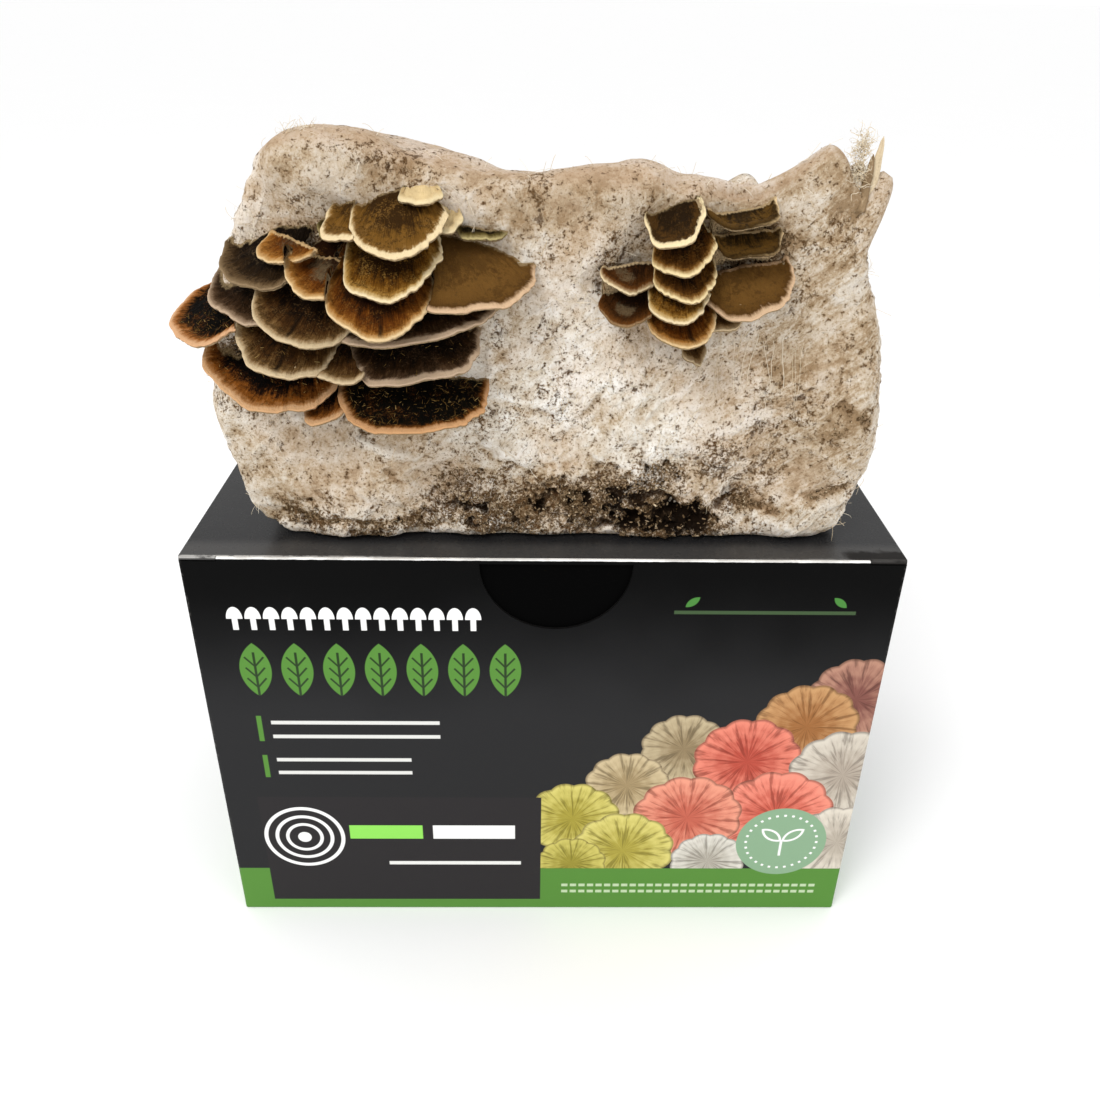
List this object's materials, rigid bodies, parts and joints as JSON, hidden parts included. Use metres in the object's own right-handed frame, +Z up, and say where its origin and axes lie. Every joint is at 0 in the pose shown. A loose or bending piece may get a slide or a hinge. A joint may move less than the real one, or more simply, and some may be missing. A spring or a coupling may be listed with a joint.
{
  "type": "mushroom grow kit",
  "caption": "Turkey tail grow kit: a pale colonised substrate block with clusters of layered fan-shaped brackets on its front, standing on a closed black printed carton.",
  "frame": {"origin": "centre of the carton's underside, on the surface that it stands on", "axes": "+Z up, -Y out of the carton's printed front and the block's face with the brackets, +X to the right as seen from the front"},
  "size_m": [0.24, 0.1702, 0.2932],
  "materials": {
    "carton_board": "satin",
    "inner_board": "matte",
    "mycelium_block": "matte",
    "bracket_flesh": "matte"
  },
  "bodies": {
    "root": {"carton_body": "carton_board", "carton_lid": "carton_board", "dust_flap_left": "inner_board", "dust_flap_right": "inner_board", "fruiting_block": "mycelium_block", "cap_left_01": "bracket_flesh", "cap_left_02": "bracket_flesh", "cap_left_03": "bracket_flesh", "cap_left_04": "bracket_flesh", "cap_left_05": "bracket_flesh", "cap_left_06": "bracket_flesh", "cap_left_07": "bracket_flesh", "cap_left_08": "bracket_flesh", "cap_left_09": "bracket_flesh", "cap_left_10": "bracket_flesh", "cap_left_11": "bracket_flesh", "cap_left_12": "bracket_flesh", "cap_left_13": "bracket_flesh", "cap_left_14": "bracket_flesh", "cap_left_15": "bracket_flesh", "cap_left_16": "bracket_flesh", "cap_left_17": "bracket_flesh", "cap_left_18": "bracket_flesh", "cap_left_19": "bracket_flesh", "cap_left_20": "bracket_flesh", "cap_left_21": "bracket_flesh", "cap_right_01": "bracket_flesh", "cap_right_02": "bracket_flesh", "cap_right_03": "bracket_flesh", "cap_right_04": "bracket_flesh", "cap_right_05": "bracket_flesh", "cap_right_06": "bracket_flesh", "cap_right_07": "bracket_flesh", "cap_right_08": "bracket_flesh", "cap_right_09": "bracket_flesh", "cap_right_10": "bracket_flesh", "cap_right_11": "bracket_flesh", "cap_right_12": "bracket_flesh"}
  },
  "joints": []
}
